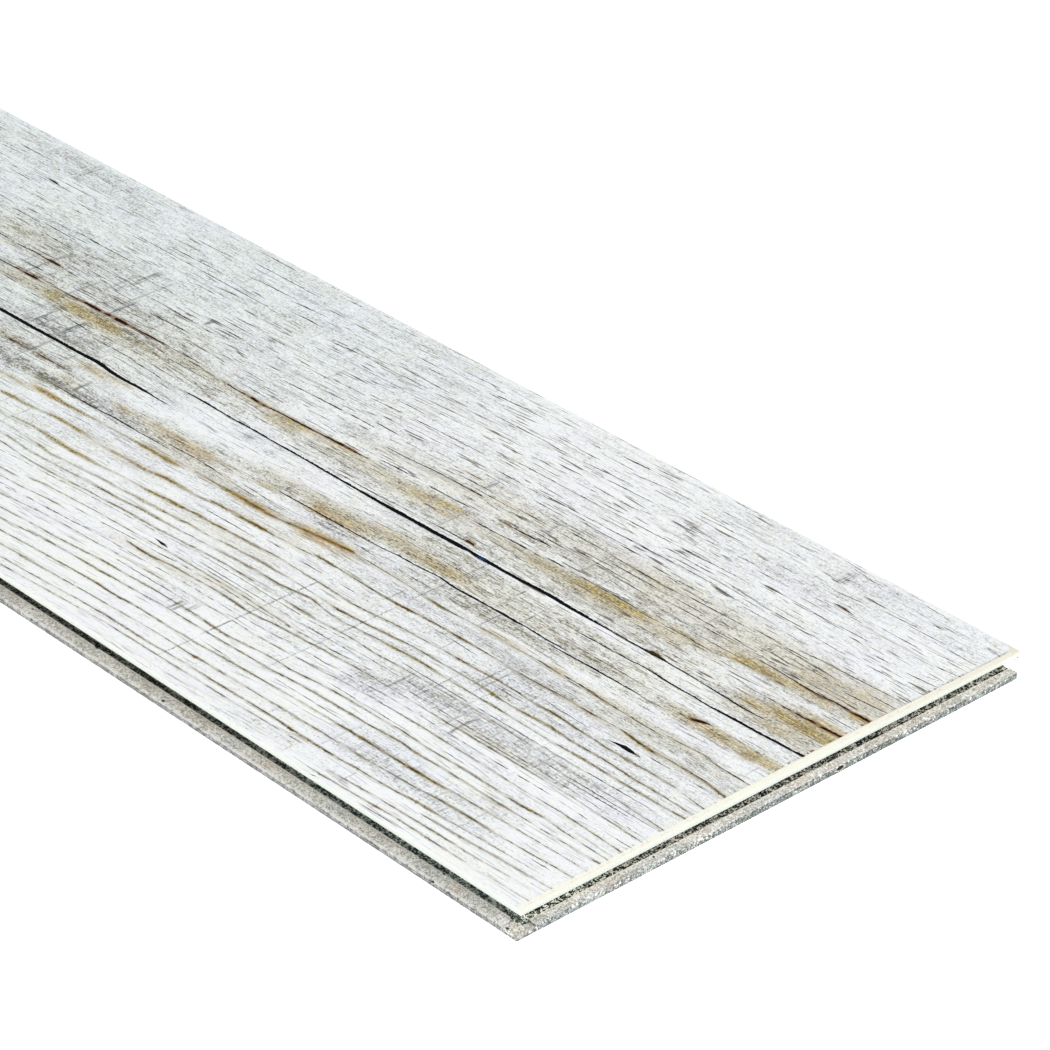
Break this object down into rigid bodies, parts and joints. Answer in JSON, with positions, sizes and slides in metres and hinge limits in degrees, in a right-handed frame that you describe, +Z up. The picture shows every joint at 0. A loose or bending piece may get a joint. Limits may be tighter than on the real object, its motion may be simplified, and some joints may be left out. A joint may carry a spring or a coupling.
{
  "type": "vinyl floor plank",
  "caption": "Click-edged vinyl floor plank with a wood-look printed face on a cream vinyl layer and a speckled filled core, grooved and lipped on one long and one short edge.",
  "frame": {"origin": "middle of the underside's outline, lips and tongues included, on the level the plank rests on", "axes": "+Z up through the thickness to the printed face; +X along the length to the short end with the locking lip; +Y across the width to the long side with the tongue"},
  "size_m": [1.2254, 0.1862, 0.005],
  "materials": {
    "printed_decor": "matte embossed wear layer over a white-washed wood print",
    "cream_vinyl": "satin, cut edge",
    "filled_core": "matte, milled, speckled with light and dark grit"
  },
  "bodies": {
    "root": {"decor_wear_layer": "printed_decor", "upper_vinyl_layer": "cream_vinyl", "core_board": "filled_core"}
  },
  "joints": []
}
